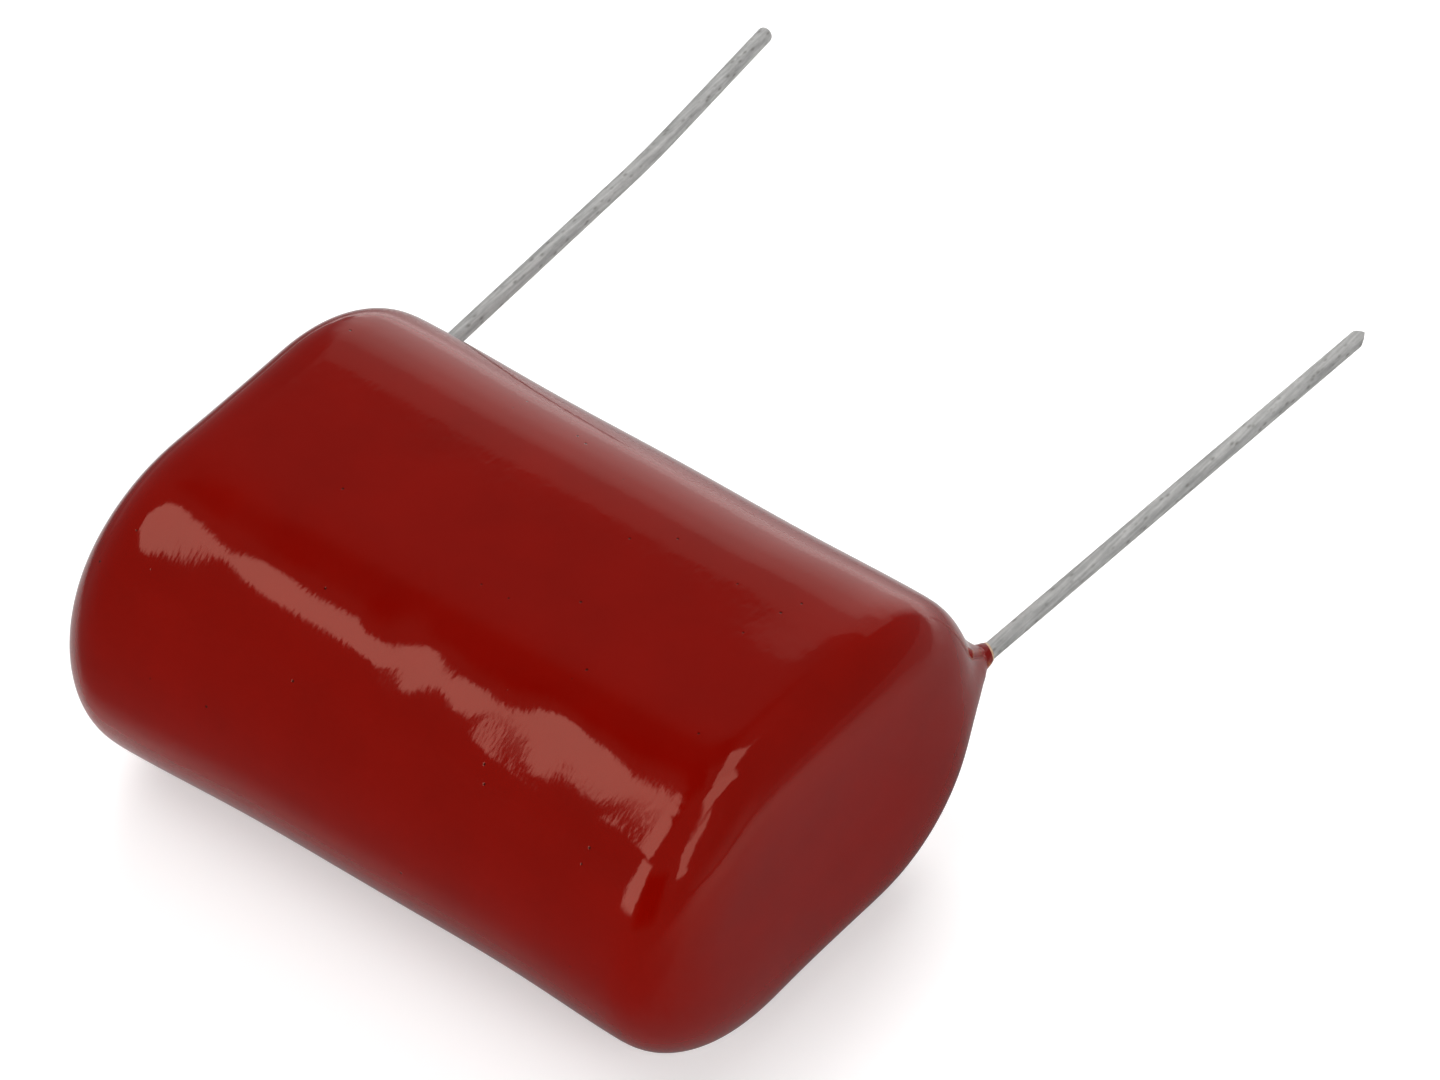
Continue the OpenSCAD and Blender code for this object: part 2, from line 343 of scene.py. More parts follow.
def own_copy(node, name):
    """A copy of a CAD solid with its own merged mesh, to model on."""
    deselect()
    solid = frame["nodes"][node]
    solid.select_set(True)
    bpy.context.view_layer.objects.active = solid
    bpy.ops.object.duplicate()
    piece = bpy.context.object
    piece.name = piece.data.name = name
    piece.parent = None
    piece.data.materials.clear()
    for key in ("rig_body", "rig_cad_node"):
        del piece[key]
    bpy.ops.mesh.customdata_custom_splitnormals_clear()
    bpy.ops.object.mode_set(mode="EDIT")
    bpy.ops.mesh.select_all(action="SELECT")
    bpy.ops.mesh.remove_doubles(threshold=EXACT)
    bpy.ops.object.mode_set(mode="OBJECT")
    return piece


def modify(piece, kind, **settings):
    """Adds a modifier with its settings and applies it."""
    bpy.context.view_layer.objects.active = piece
    modifier = piece.modifiers.new(kind.lower(), kind)
    for name, value in settings.items():
        setattr(modifier, name, value)
    bpy.ops.object.modifier_apply(modifier=modifier.name)


def select_where(piece, test, kind="faces"):
    """In edit mode, selects the faces or points whose place passes the test."""
    mesh = bmesh.from_edit_mesh(piece.data)
    found = 0
    bpy.ops.mesh.select_all(action="DESELECT")
    for part in getattr(mesh, kind):
        where = part.calc_center_median() if kind == "faces" else part.co
        if test(where):
            part.select_set(True)
            found += 1
    mesh.select_flush_mode()
    bmesh.update_edit_mesh(piece.data)
    return found


def close_shell(piece, smooth_to):
    """From edit mode: turns the faces outwards, and shades bends of up to so many degrees smooth."""
    bpy.ops.mesh.select_all(action="SELECT")
    bpy.ops.mesh.normals_make_consistent(inside=False)
    bpy.ops.object.mode_set(mode="OBJECT")
    deselect()
    piece.select_set(True)
    bpy.ops.object.shade_smooth_by_angle(angle=math.radians(smooth_to))


def hand_over(piece, material, slot, *nodes):
    """Gives the finished piece its material, and its place in the frame."""
    piece.data.materials.clear()
    piece.data.materials.append(material)
    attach(piece, "root")
    if nodes:
        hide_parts(*nodes)


def bezier(start, start_pull, end_pull, end, steps):
    """Points along a smooth curve between two pulled ends."""
    points = []
    for step in range(steps + 1):
        t = step / steps
        points.append(start * (1 - t) ** 3 + start_pull * 3 * t * (1 - t) ** 2
                      + end_pull * 3 * t * t * (1 - t) + end * t ** 3)
    return points


def wire_line(mount):
    """The free end of a lead, and its direction outwards, from its mount."""
    return Vector(MOUNTS[mount]["pos_m"]), Vector(MOUNTS[mount]["axis"]).normalized()


# ---------------------------------------------------------------- settings

class CapacitorCoating(bpy.types.PropertyGroup):
    """Colours and skin of the epoxy"""
    dark: bpy.props.StringProperty(
        name="Deep red", description="Pigment where the coating is thick, sRGB hex", default="720400")
    light: bpy.props.StringProperty(
        name="Light red", description="Pigment where the coating is thin, sRGB hex", default="830701")
    sheen: bpy.props.StringProperty(
        name="Sheen", description="Tint of the reflections seen square on, sRGB hex", default="FFBCA6")
    pore: bpy.props.StringProperty(
        name="Pinhole", description="Colour of the pinholes, sRGB hex", default="3C0603")
    # Painted light: the colour of the amber glow painted on the thin epoxy round the wires; it also
    # streaks the cream ring
    thin: bpy.props.StringProperty(
        name="Amber", description="Colour of the epoxy drawn up the wires, sRGB hex", default="A8642A")
    # The cream of the thin ring round each wire's root
    pale: bpy.props.StringProperty(
        name="Cream", description="Colour of the last film on the wires, sRGB hex", default="E6D6BC")
    tilt: bpy.props.FloatProperty(
        name="Tilt", description="Slope of the epoxy's edge round a wire", default=0.45, min=0, max=1)
    roughness: bpy.props.FloatProperty(
        name="Roughness", description="Roughness of the cured skin", default=0.07, min=0, max=1)
    peel: bpy.props.FloatProperty(
        name="Orange peel", description="Width of one dimple of the orange peel, in mm", default=0.7,
        min=0.2, max=3)
    grid: bpy.props.FloatProperty(
        name="Mesh size", description="Edge length of the skin's mesh", default=0.25 * MM,
        min=0.15 * MM, max=1 * MM, unit="LENGTH", precision=6)
    smooth: bpy.props.IntProperty(
        name="Flow", description="How far the skin flows smooth before it sets", default=12, min=0,
        max=40)


class CapacitorLeads(bpy.types.PropertyGroup):
    """Sizes of the wires, and their tin"""
    diameter: bpy.props.FloatProperty(
        name="Wire diameter", description="Diameter of the tinned wire",
        default=2 * MM * MOUNTS["lead_a_pin"]["dims"]["r_mm"], min=0.3 * MM, max=1.5 * MM,
        unit="LENGTH", precision=6)
    splay: bpy.props.FloatProperty(
        name="Splay", description="Outward splay of the kinked lead where it leaves the coating",
        default=math.radians(1.8), subtype="ANGLE")
    to_kink: bpy.props.FloatProperty(
        name="Length to the kink", description="From the first bend to the kink", default=14.2 * MM,
        unit="LENGTH", precision=6)
    tip_round: bpy.props.FloatProperty(
        name="Tip rounding", description="Rounding of the kinked lead's tip", default=0.3 * MM,
        unit="LENGTH", precision=6)
    cut_steep: bpy.props.FloatProperty(
        name="First cut", description="Angle of the first cutter mark to the wire",
        default=math.radians(40), subtype="ANGLE")
    cut_flat: bpy.props.FloatProperty(
        name="Second cut", description="Angle of the second cutter mark to the wire",
        default=math.radians(58), subtype="ANGLE")
    cut_turn: bpy.props.FloatProperty(
        name="Turn of the cuts", description="Turn of both cutter marks about the wire",
        default=math.radians(31), subtype="ANGLE")
    dull: bpy.props.StringProperty(
        name="Dull tin", description="Darker patches of the tin, sRGB hex", default="9E9E9D")
    bright: bpy.props.StringProperty(
        name="Rubbed tin", description="Brighter patches of the tin, sRGB hex", default="D6D5D3")
    pit: bpy.props.StringProperty(
        name="Pits", description="Small pits in the tin, sRGB hex", default="8A8884")
    roughness: bpy.props.FloatProperty(
        name="Roughness", description="Roughness of the tin", default=0.5, min=0, max=1)
    smooth: bpy.props.FloatProperty(
        name="Smooth tin", description="Roughness of the tin beside the coating", default=0.35, min=0,
        max=1)


class CapacitorInside(bpy.types.PropertyGroup):
    """Colours of what the coating hides"""
    zinc_dark: bpy.props.StringProperty(
        name="Zinc, dark", description="Hollows of the sprayed zinc, sRGB hex", default="7C7E80")
    zinc_light: bpy.props.StringProperty(
        name="Zinc, light", description="Grains of the sprayed zinc, sRGB hex", default="B4B6B8")
    film_dark: bpy.props.StringProperty(
        name="Film, dark", description="Darker turns of the wound film, sRGB hex", default="9C9EA2")
    film_light: bpy.props.StringProperty(
        name="Film, light", description="Lighter turns of the wound film, sRGB hex", default="D4D6DA")


class CapacitorStage(bpy.types.PropertyGroup):
    """Floor, light and camera"""
    paper: bpy.props.StringProperty(
        name="Paper", description="Colour of the floor, sRGB hex", default="FAFAFA")
    lift: bpy.props.FloatProperty(
        name="Paper lift", description="How much the floor is lifted towards white where it is seen",
        default=0.35, min=0, max=1)
    level: bpy.props.FloatProperty(
        name="Light level", description="Brightness at which a colour renders as written", default=1.0,
        min=0.1, max=3)
    world: bpy.props.FloatProperty(
        name="Room light", description="Strength of the light that comes from all round", default=0.25,
        min=0, max=1)
    room: bpy.props.FloatProperty(
        name="Room seen in gloss", description="Brightness of the room that reflections show",
        default=0.19, min=0, max=1)
    azimuth: bpy.props.FloatProperty(
        name="Camera azimuth", description="Turn of the view from the front",
        default=math.radians(37.64), subtype="ANGLE")
    elevation: bpy.props.FloatProperty(
        name="Camera elevation", description="Height angle of the view", default=math.radians(45.38),
        subtype="ANGLE")
    distance: bpy.props.FloatProperty(
        name="Camera distance", description="From the body's middle", default=347.07 * MM,
        unit="LENGTH")
    lens: bpy.props.FloatProperty(name="Lens", description="Focal length in millimetres", default=195.0)


# ---------------------------------------------------------------- coating

class CAPACITOR_OT_coating(bpy.types.Operator):
    """Flow the dipped epoxy skin over the CAD coating"""
    bl_idname = "capacitor.coating"
    bl_label = "Epoxy coating"

    # Where the epoxy sagged or gathered, along the upper front edge and, last, at the right end of
    # the top: x, y, reach and height in mm
    RIPPLES = (
        (-13.4, -8.0, 2.4, -0.14),
        (-13.5, -7.3, 2.4, 0.08),
        (-11.0, -8.5, 2.1, -0.04),
        (-9.0, -7.0, 3.2, 0.05),
        (-1.5, -7.0, 2.0, -0.06),
        (0.9, -8.2, 2.4, -0.08),
        (4.5, -8.5, 2.1, -0.02),
        (6.8, -8.3, 2.9, -0.14),
        (9.5, -8.5, 3.1, -0.13),
        (12.9, -8.2, 3.5, -0.14),
        (15.4, -7.9, 3.0, -0.16),
        (13.0, 4.5, 4.5, -0.08),
    )
    # Round the top of a collar, the reach that keeps its form, and the reach where all of it flows
    HELD, FREE = 1 * MM, 3 * MM
    # Smoothing passes of the last flow, over all of the skin, that blends the collars in
    LAST_FLOW = 2

    def execute(self, context):
        settings = context.scene.capacitor_coating
        piece = own_copy("epoxy_coating", "coating")
        self.keep_outside(piece)
        modify(piece, "REMESH", mode="VOXEL", voxel_size=settings.grid)
        self.hold_collars(piece)
        modify(piece, "SMOOTH", factor=0.5, iterations=settings.smooth, vertex_group="flow")
        modify(piece, "SMOOTH", factor=0.5, iterations=self.LAST_FLOW)
        piece.vertex_groups.clear()
        if not piece.data.polygons:
            raise RuntimeError("the coating came out empty")
        for x, y, reach, height in self.RIPPLES:
            self.push(piece, Vector((x, y)) * MM, reach * MM, height * MM)
        deselect()
        piece.select_set(True)
        bpy.ops.object.shade_smooth()
        hand_over(piece, dipped_epoxy(settings), "epoxy", "epoxy_coating")
        return {"FINISHED"}

    def hold_collars(self, piece):
        """Weights the skin for smoothing: none where it is drawn up round a wire, all further off."""
        flow = piece.vertex_groups.new(name="flow")
        collar = Vector((WIRE_FOOT.x, BODY_HIGH.y, WIRE_FOOT.z))
        for vertex in piece.data.vertices:
            x, y, z = vertex.co
            off = (Vector((abs(x), y, z)) - collar).length
            share = (off - self.HELD) / (self.FREE - self.HELD)
            flow.add([vertex.index], min(max(share, 0.0), 1.0), "REPLACE")

    def push(self, piece, place, reach, height):
        """Pushes the top of the skin out or in round a place seen from above, with a soft falloff."""
        bpy.ops.object.mode_set(mode="EDIT")
        bpy.ops.mesh.select_mode(type="VERT")
        bpy.ops.mesh.select_all(action="DESELECT")
        mesh = bmesh.from_edit_mesh(piece.data)
        facing_up = (vertex for vertex in mesh.verts if vertex.normal.z > 0.2)
        nearest = min(facing_up, key=lambda vertex: (vertex.co.xy - place).length_squared)
        nearest.select_set(True)
        bmesh.update_edit_mesh(piece.data)
        bpy.ops.transform.translate(value=nearest.normal * height, use_proportional_edit=True,
                                    proportional_edit_falloff="SMOOTH", proportional_size=reach)
        bpy.ops.object.mode_set(mode="OBJECT")

    def keep_outside(self, piece):
        """Parts the skin from the hollow at the wire holes, drops the hollow, and closes both
        openings."""
        bpy.ops.object.mode_set(mode="EDIT")
        bpy.ops.mesh.select_mode(type="FACE")
        if not select_where(piece, self.beside_wire):
            raise RuntimeError("the coating has no wire holes")
        bpy.ops.mesh.delete(type="FACE")
        select_where(piece, lambda place: place.z < BODY_LOW.z + SLACK)
        bpy.ops.mesh.select_linked()
        bpy.ops.mesh.select_all(action="INVERT")
        bpy.ops.mesh.delete(type="FACE")
        bpy.ops.mesh.select_mode(type="EDGE")
        bpy.ops.mesh.select_all(action="DESELECT")
        bpy.ops.mesh.select_non_manifold()
        bpy.ops.mesh.fill()
        bpy.ops.object.mode_set(mode="OBJECT")

    def beside_wire(self, place):
        """True on the wall of a wire hole, which runs straight in from the edge of the body."""
        radius = bpy.context.scene.capacitor_leads.diameter / 2
        off = (abs(place.x) - WIRE_FOOT.x, place.z - WIRE_FOOT.z)
        return place.y > WIRE_FOOT.y - SLACK and math.hypot(*off) < radius + SLACK / 2


# ---------------------------------------------------------------- leads

class CAPACITOR_OT_leads(bpy.types.Operator):
    """Draw both leads as smooth tinned wires, one with a rounded tip and one pinched off"""
    bl_idname = "capacitor.leads"
    bl_label = "Tinned leads"

    # Steps round the kink
    KINK_STEPS = 6
    # The dome of a rounded tip stops this far round, at a small flat, in so many rings
    DOME_TURN, DOME_RINGS = math.radians(80), 6
    # Sharper bends than this, in degrees, are edges: the rims of the cut faces
    SMOOTH_TO = 35

    def execute(self, context):
        settings = context.scene.capacitor_leads
        tin = tinned_wire(settings)
        path = self.kinked_path(settings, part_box("lead_a")[1].y)
        kinked = self.draw_wire("wire_a", path, settings)
        self.round_off(kinked, path[-1], settings)
        hand_over(kinked, tin, "tinned_wire", "lead_a")
        straight = self.draw_wire("wire_b", self.straight_path(settings), settings)
        self.pinch_off(straight, settings)
        hand_over(straight, tin, "tinned_wire", "lead_b")
        return {"FINISHED"}

    def first_bend(self, side):
        """Where a lead leaves its collar and bends, at the height of the straight lead's bend."""
        place, axis = wire_line("lead_b_pin")
        bend = place - axis * (place.x - WIRE_FOOT.x) / axis.x
        return Vector((side * bend.x, bend.y, bend.z))

    def kinked_path(self, settings, tip):
        """From the foot to just short of the tip: out at the first splay, round the kink, and
        straight on."""
        place, axis = wire_line("lead_a_pin")
        foot = Vector((-WIRE_FOOT.x, WIRE_FOOT.y, WIRE_FOOT.z))
        bend = self.first_bend(-1)
        splay = Vector((-math.sin(settings.splay), math.cos(settings.splay), 0))
        corner = bend + splay * settings.to_kink
        after = place - axis * MOUNTS["lead_a_pin"]["dims"]["length_mm"] / 2 * MM
        reach = (after - corner).length / 3
        curve = bezier(corner, corner + splay * reach, after - axis * reach, after,
                       self.KINK_STEPS)
        end = after + axis * ((tip - settings.tip_round - after.y) / axis.y)
        return [foot, bend, *curve, end]

    def straight_path(self, settings):
        """From the foot to past the tip, which is then pinched off."""
        bend, axis, tip = self.straight_line()
        return [WIRE_FOOT, bend, tip + axis * settings.diameter]

    def straight_line(self):
        """The straight lead's bend, its direction beyond that, and its tip."""
        bend = self.first_bend(1)
        axis = wire_line("lead_b_pin")[1]
        return bend, axis, bend + axis * ((LEAD_HIGH.y - bend.y) / axis.y)

    def draw_wire(self, name, path, settings):
        """A round bar whose far end is drawn out from bend to bend."""
        deselect()
        bpy.ops.mesh.primitive_cylinder_add(vertices=SIDES, radius=settings.diameter / 2,
                                            depth=(path[1] - path[0]).length,
                                            location=(path[0] + path[1]) / 2,
                                            rotation=(math.radians(-90), 0, 0))
        wire = bpy.context.object
        wire.name = wire.data.name = name
        bpy.ops.object.transform_apply()
        bpy.ops.object.mode_set(mode="EDIT")
        bpy.ops.mesh.select_mode(type="FACE")
        for here, there in zip(path[1:], path[2:]):
            self.take_end(wire, here)
            bpy.ops.mesh.extrude_region_move(TRANSFORM_OT_translate={"value": there - here})
        bpy.ops.object.mode_set(mode="OBJECT")
        return wire

    def take_end(self, wire, place):
        """Selects the flat end of a wire."""
        if select_where(wire, lambda centre: (centre - place).length < CLOSE) != 1:
            raise RuntimeError("the wire has no single end face to draw on")

    def round_off(self, wire, end, settings):
        """Draws the tip on in shrinking rings, so that it ends in a low dome."""
        axis = wire_line("lead_a_pin")[1]
        here = end
        radius = settings.diameter / 2
        bpy.ops.object.mode_set(mode="EDIT")
        before = 1.0
        for ring in range(1, self.DOME_RINGS + 1):
            turn = self.DOME_TURN * ring / self.DOME_RINGS
            there = end + axis * settings.tip_round * math.sin(turn)
            width = 1 - settings.tip_round / radius * (1 - math.cos(turn))
            self.take_end(wire, here)
            bpy.ops.mesh.extrude_region_move(TRANSFORM_OT_translate={"value": there - here})
            bpy.ops.transform.resize(value=(width / before,) * 3, center_override=there)
            here, before = there, width
        close_shell(wire, self.SMOOTH_TO)

    def pinch_off(self, wire, settings):
        """Cuts the tip with the two slanting faces that side cutters leave."""
        axis, ridge = self.straight_line()[1:]
        across = Vector((axis.y, -axis.x, 0))
        side = across * math.cos(settings.cut_turn) - Vector((0, 0, 1)) * math.sin(settings.cut_turn)
        bpy.ops.object.mode_set(mode="EDIT")
        for way, angle in ((1, settings.cut_steep), (-1, settings.cut_flat)):
            bpy.ops.mesh.select_all(action="SELECT")
            facing = side * way * math.cos(angle) + axis * math.sin(angle)
            bpy.ops.mesh.bisect(plane_co=ridge, plane_no=facing, clear_outer=True, threshold=EXACT)
            bpy.ops.mesh.select_mode(type="EDGE")
            bpy.ops.mesh.select_all(action="DESELECT")
            bpy.ops.mesh.select_non_manifold()
            bpy.ops.mesh.edge_face_add()
        close_shell(wire, self.SMOOTH_TO)


# ---------------------------------------------------------------- epoxy round the wires

class CAPACITOR_OT_menisci(bpy.types.Operator):
    """Draw the thin epoxy up round both wires, with the pale ring that ends it"""
    bl_idname = "capacitor.menisci"
    bl_label = "Epoxy round the wires"

    # Places along the wire from the collar's top, and thicknesses there, in mm: of the thin epoxy,
    # which starts below the skin, and of the pale ring that ends it
    FILM = ((-1.1, 0.16), (-0.55, 0.13), (-0.2, 0.1), (0.0, 0.08), (0.08, 0.05), (0.13, 0.02))
    RING = ((0.02, 0.04), (0.08, 0.055), (0.14, 0.045), (0.2, 0.01))
    # How far the lowest places of the thin epoxy are drawn out on the side towards the other wire
    DRAWN_OUT = (1.9, 1.6, 1.25, 1.1)
    # The inside of both, as a share of the bare wire's radius, so that no gap shows
    INSIDE = 0.98
    # How far a ring slides down as a whole, at a slope of 1
    SETTLE = 0.1 * MM
    # Sharper bends than this, in degrees, are edges
    SMOOTH_TO = 60

    def execute(self, context):
        settings = context.scene.capacitor_coating
        bare = context.scene.capacitor_leads.diameter / 2
        thin = thin_epoxy_painted_glow(settings)
        pale = cream_ring_finish(settings)
        for side, letter in ((-1, "a"), (1, "b")):
            centre = Vector((side * WIRE_FOOT.x, BODY_HIGH.y, WIRE_FOOT.z))
            meniscus = self.lathe("meniscus_" + letter, centre, bare, self.FILM)
            for (y, thick), stretch in zip(self.FILM, self.DRAWN_OUT):
                self.draw_in(meniscus, centre, side, bare + thick * MM / 2, y * MM, stretch)
            hand_over(meniscus, thin, "epoxy")
            ring = self.lathe("meniscus_ring_" + letter, centre, bare, self.RING)
            for piece in (meniscus, ring):
                self.tilt(piece, centre, side * settings.tilt)
            hand_over(ring, pale, "epoxy")
        return {"FINISHED"}

    def tilt(self, piece, centre, slope):
        """Slides a ring down the wire on the outer side, where the body curves away, and up on the
        inner."""
        for vertex in piece.data.vertices:
            vertex.co.y -= slope * (vertex.co.x - centre.x) + abs(slope) * self.SETTLE

    def draw_in(self, ring, centre, side, inner, y, stretch):
        """Draws one ring of the meniscus out over the body, on the side towards the other wire."""
        bpy.ops.object.mode_set(mode="EDIT")
        bpy.ops.mesh.select_mode(type="VERT")
        select_where(ring, lambda place: abs(place.y - centre.y - y) < CLOSE
                     and side * (place.x - centre.x) < -CLOSE
                     and math.hypot(place.x - centre.x, place.z - centre.z) > inner, "verts")
        bpy.ops.transform.resize(value=(stretch, 1, 1), center_override=centre)
        bpy.ops.object.mode_set(mode="OBJECT")

    def lathe(self, name, centre, bare, outline):
        """A ring round the wire, from an outline of places along it and thicknesses, in millimetres.
        Its inside lies just within the wire."""
        rings = [(y * MM, bare + thick * MM) for y, thick in outline]
        rings += [(outline[-1][0] * MM, bare * self.INSIDE), (outline[0][0] * MM, bare * self.INSIDE)]
        deselect()
        bpy.ops.mesh.primitive_circle_add(vertices=SIDES, radius=rings[0][1],
                                          location=centre + Vector((0, rings[0][0], 0)),
                                          rotation=(math.radians(90), 0, 0))
        ring = bpy.context.object
        ring.name = ring.data.name = name
        bpy.ops.object.transform_apply()
        bpy.ops.object.mode_set(mode="EDIT")
        bpy.ops.mesh.select_mode(type="EDGE")
        bpy.ops.mesh.select_all(action="SELECT")
        for (y, wide), (next_y, next_wide) in zip(rings, rings[1:]):
            bpy.ops.mesh.extrude_region_move(TRANSFORM_OT_translate={"value": (0, next_y - y, 0)})
            bpy.ops.transform.resize(value=(next_wide / wide,) * 3,
                                     center_override=centre + Vector((0, next_y, 0)))
        bpy.ops.mesh.select_all(action="DESELECT")
        bpy.ops.mesh.select_non_manifold()
        bpy.ops.mesh.bridge_edge_loops()
        close_shell(ring, self.SMOOTH_TO)
        return ring


# ---------------------------------------------------------------- inside

class CAPACITOR_OT_inside(bpy.types.Operator):
    """Give the wound film and the sprayed ends their materials"""
    bl_idname = "capacitor.inside"
    bl_label = "Winding and end contacts"

    def execute(self, context):
        settings = context.scene.capacitor_inside
        zinc = sprayed_zinc(settings)
        film = metallised_film(settings)
        for node, material in (("end_contact_a", zinc), ("end_contact_b", zinc),
                               ("film_winding", film)):
            mesh = frame["nodes"][node].data
            mesh.materials.clear()
            mesh.materials.append(material)
        return {"FINISHED"}


# ---------------------------------------------------------------- stage

class CAPACITOR_OT_stage(bpy.types.Operator):
    """Set up the floor, the lamps, the cards and the camera"""
    bl_idname = "capacitor.stage"
    bl_label = "Stage"

    # Cards that only reflections see: name, azimuth from the front and elevation in degrees,
    # distance, width and height in mm, glow, and the soft share of the width and of the height
    CARDS = (
        ("window", -47, 54, 400, 100, 90, 3.2, (0.1, 0.1)),
        ("ridge window", -21.5, 54, 400, 110, 130, 3.2, (0.1, 0.1)),
        ("ridge window, low", -8, 26, 400, 145, 285, 3.2, (0.1, 0.1)),
        ("right window", 84.5, 58.5, 400, 285, 130, 2.7, (0.1, 0.1)),
        ("right window, low", 62.5, 34, 400, 65, 195, 2.7, (0.1, 0.1)),
        ("rear window", 117, 67.5, 400, 270, 145, 2.4, (0.1, 0.1)),
        ("sweep", -160, 0, 600, 640, 1118, 1.15, (0.3, 0.4)),
        ("wall", -165, 35, 700, 594, 310, 0.55, (0.07, 0.06)),
        ("left strip", -112, 0, 110, 112, 17, 0.25, (0.09, 0.05)),
        ("haze", 95, 0, 600, 600, 400, 0.48, (0.45, 0.5)),
        ("dark front", 24, 18, 500, 466, 445, 0.0, (0.3, 0.3)),
        ("dark top", -130, 72, 500, 500, 300, 0.05, (0.3, 0.3)),
        ("dark band", -45, 76, 420, 380, 210, 0.0, (0.3, 0.3)),
    )
    # Flags lying on the floor, that only reflections see: name, middle x and y, height over the
    # floor, width and depth in mm, glow, and the soft share of the width and of the depth. The dim
    # flags darken the floor in reflections. Round the body this is painted shade, where its shadow
    # would fall. The glows are painted light: a brighter floor in the rims' reflections.
    FLAGS = (
        # Painted shade: the floor round the body, as dark in reflections as its shadow would be
        ("end flag", 15, 10, 0.05, 170, 220, 0.15, (0.5, 0.5)),
        ("left flag", -770, -700, 0.08, 1500, 1560, 0.14, (0.02, 0.03)),
        ("right flag", 760, 0, 0.08, 1480, 2800, 0.3, (0.02, 0.02)),
        ("front flag", 0, -756, 0.1, 2900, 1488, 0.2, (0.01, 0.0054)),
        # Painted light: a brighter floor for the reflections in the rims
        ("end glow", 110, 5, 0.12, 180, 120, 0.9, (0.3, 0.5)),
        ("left glow", -31, 8, 0.14, 34, 60, 0.6, (0.4, 0.3)),
        ("back glow", -4, 26, 0.16, 64, 28, 0.6, (0.3, 0.4)),
    )
    # Lamps that reflections do not see: name, place and size in metres, and watts
    LAMPS = (
        ("top lamp", (-0.5, -0.3, 1.65), 1.6, 10.5),
        ("right lamp", (1.4, -0.7, 0.9), 1.2, 15),
        ("back lamp", (-0.7, 1.3, 1.1), 1.2, 19),
        ("front lamp", (-0.4, -1.5, 0.3), 1.0, 7),
    )
    # Height of the camera's aim over the floor, and its steps aside and up to take in the leads
    AIM_HEIGHT, ASIDE, ABOVE = 8.35 * MM, 8.716 * MM, 5.868 * MM
    # Width and depth of the floor, in metres
    FLOOR_SIZE = 3.0

    def execute(self, context):
        settings = context.scene.capacitor_stage
        self.floor(settings)
        self.lamps(context, settings)
        for card in self.CARDS:
            self.card(*card)
        for flag in self.FLAGS:
            self.flag(*flag)
        self.camera(context, settings)
        return {"FINISHED"}

    def floor(self, settings):
        """A plain floor, a hair below the capacitor's flat."""
        deselect()
        bpy.ops.mesh.primitive_plane_add(size=self.FLOOR_SIZE, location=(0, 0, -SLACK))
        floor = bpy.context.object
        floor.name = "floor"
        floor.data.materials.append(studio_paper(settings))

    def lamps(self, context, settings):
        """The light from all round, and the lamps."""
        world = context.scene.world or bpy.data.worlds.new("studio")
        context.scene.world = world
        world.use_nodes = True
        background = world.node_tree.nodes["Background"]
        background.inputs["Color"].default_value = (1, 1, 1, 1)
        glossy = add_node(world, "ShaderNodeLightPath").outputs["Is Glossy Ray"]
        seen = add_node(world, "ShaderNodeMapRange",
                        {"Value": glossy, "To Min": settings.world,
                         "To Max": settings.room}).outputs["Result"]
        world.node_tree.links.new(seen, background.inputs["Strength"])
        for name, place, size, watts in self.LAMPS:
            deselect()
            bpy.ops.object.light_add(type="AREA", location=place)
            lamp = bpy.context.object
            lamp.name = name
            lamp.data.size = size
            lamp.data.energy = watts * settings.level
            lamp.rotation_euler = (BODY_MIDDLE - Vector(place)).to_track_quat("-Z", "Y").to_euler()
            lamp.visible_glossy = False

    def card(self, name, azimuth, elevation, distance, width, height, glow, soft):
        """A card facing the body from a direction round it."""
        a, e = math.radians(azimuth), math.radians(elevation)
        out = Vector((math.sin(a) * math.cos(e), -math.cos(a) * math.cos(e), math.sin(e)))
        card = self.reflected_plane(name, BODY_MIDDLE + out * distance * MM, width, height, glow, soft)
        card.rotation_euler = (-out).to_track_quat("-Z", "Y").to_euler()

    def flag(self, name, x, y, z, width, depth, glow, soft):
        """A flag lying just over the floor."""
        self.reflected_plane(name, Vector((x, y, z)) * MM, width, depth, glow, soft)

    def reflected_plane(self, name, place, width, height, glow, soft):
        """A plane that no camera or lamp meets, only reflections."""
        deselect()
        bpy.ops.mesh.primitive_plane_add(size=1.0, location=place)
        plane = bpy.context.object
        plane.name = name
        plane.scale = (width * MM, height * MM, 1)
        plane.data.materials.append(card_face(name, glow, soft))
        plane.visible_camera = plane.visible_diffuse = plane.visible_shadow = False
        plane.visible_transmission = plane.visible_volume_scatter = False
        return plane

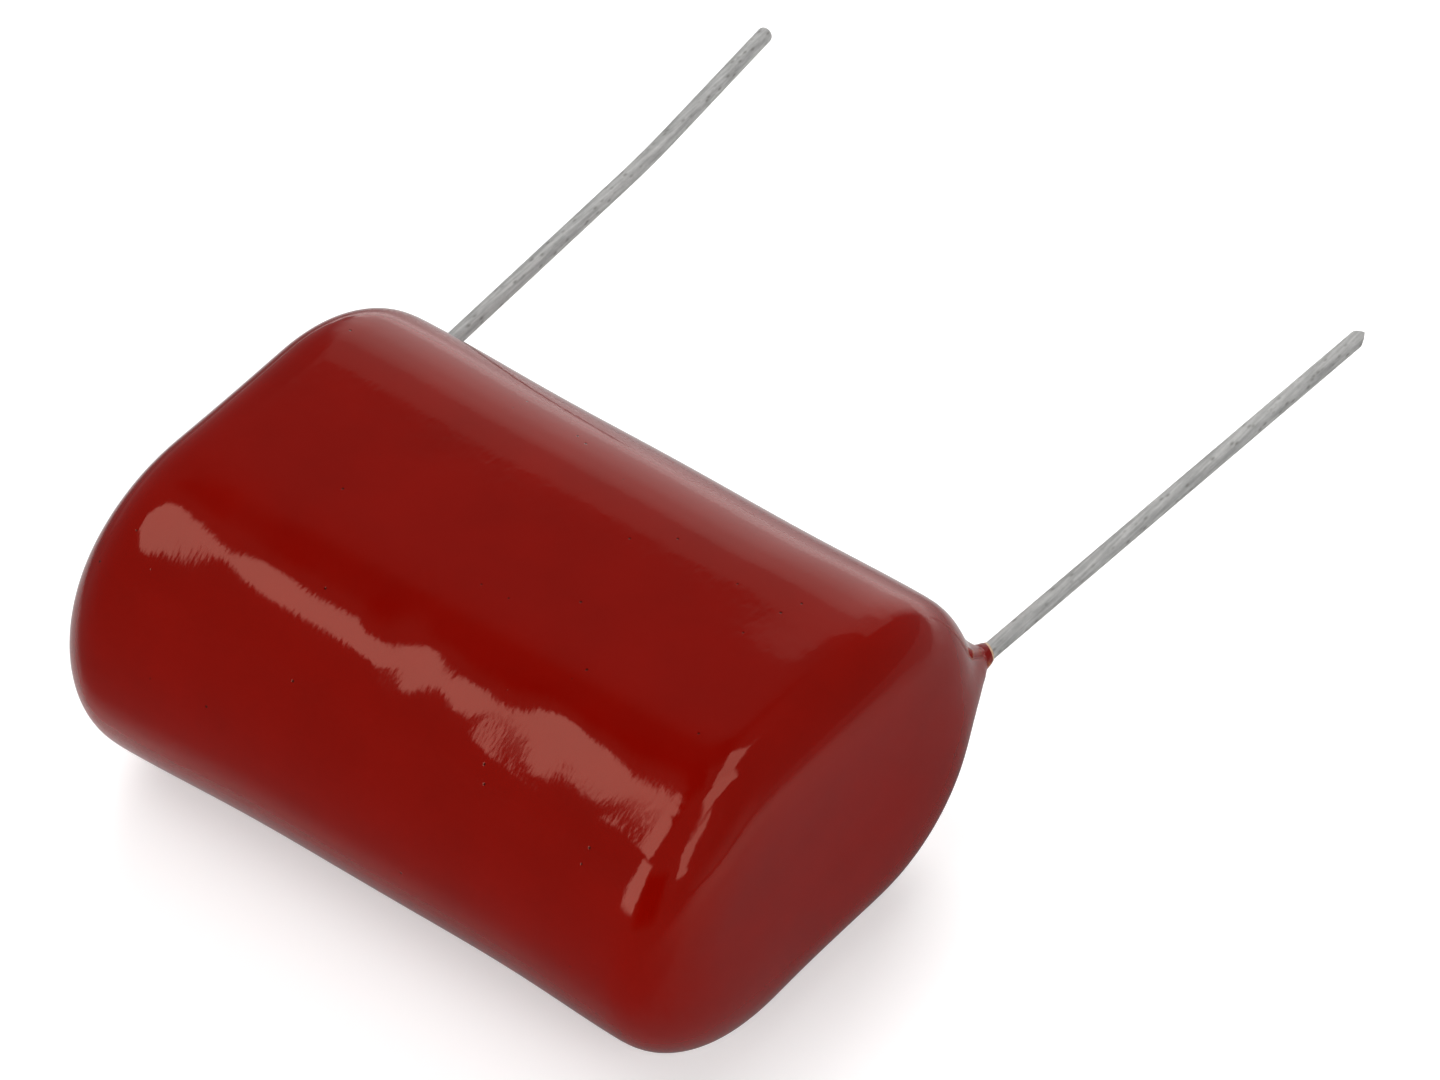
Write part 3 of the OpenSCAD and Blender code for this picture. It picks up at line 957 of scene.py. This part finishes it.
    def camera(self, context, settings):
        """The camera, aimed past the middle of the body so that the leads fit in too."""
        a, e = settings.azimuth, settings.elevation
        right = Vector((math.cos(a), math.sin(a), 0))
        back = Vector((math.sin(a) * math.cos(e), -math.cos(a) * math.cos(e), math.sin(e)))
        up = back.cross(right)
        deselect()
        bpy.ops.object.camera_add()
        camera = bpy.context.object
        camera.name = "camera"
        turn = Matrix((right, up, back)).transposed().to_4x4()
        place = (Vector((0, 0, self.AIM_HEIGHT)) + settings.distance * back
                 + self.ASIDE * right + self.ABOVE * up)
        camera.matrix_world = Matrix.Translation(place) @ turn
        camera.data.lens = settings.lens
        camera.data.clip_start = 0.01
        context.scene.camera = camera
        context.scene.view_settings.view_transform = "Standard"


# ---------------------------------------------------------------- panel

class CAPACITOR_PT_panel(bpy.types.Panel):
    """Lists the capacitor's pieces and their settings"""
    bl_label = "Dipped film capacitor"
    bl_idname = "CAPACITOR_PT_panel"
    bl_space_type = "VIEW_3D"
    bl_region_type = "UI"
    bl_category = "Capacitor"

    def draw(self, context):
        for group, operators in (
            ("capacitor_coating", ("capacitor.coating", "capacitor.menisci")),
            ("capacitor_leads", ("capacitor.leads",)),
            ("capacitor_inside", ("capacitor.inside",)),
            ("capacitor_stage", ("capacitor.stage",)),
        ):
            box = self.layout.box()
            settings = getattr(context.scene, group)
            for name in settings.__annotations__:
                box.prop(settings, name)
            for operator in operators:
                box.operator(operator)


GROUPS = {
    "capacitor_coating": CapacitorCoating,
    "capacitor_leads": CapacitorLeads,
    "capacitor_inside": CapacitorInside,
    "capacitor_stage": CapacitorStage,
}
CLASSES = (*GROUPS.values(), CAPACITOR_OT_coating, CAPACITOR_OT_leads, CAPACITOR_OT_menisci,
           CAPACITOR_OT_inside, CAPACITOR_OT_stage, CAPACITOR_PT_panel)


def register():
    """Adds the classes and the scene's settings."""
    for cls in CLASSES:
        bpy.utils.register_class(cls)
    for name, group in GROUPS.items():
        setattr(bpy.types.Scene, name, bpy.props.PointerProperty(type=group))


def unregister():
    """Takes away what register added."""
    for name in GROUPS:
        delattr(bpy.types.Scene, name)
    for cls in reversed(CLASSES):
        bpy.utils.unregister_class(cls)


def main():
    """Builds everything in order."""
    register()
    bpy.ops.capacitor.coating()
    bpy.ops.capacitor.leads()
    bpy.ops.capacitor.menisci()
    bpy.ops.capacitor.inside()
    bpy.ops.capacitor.stage()


if __name__ == "__main__":
    main()
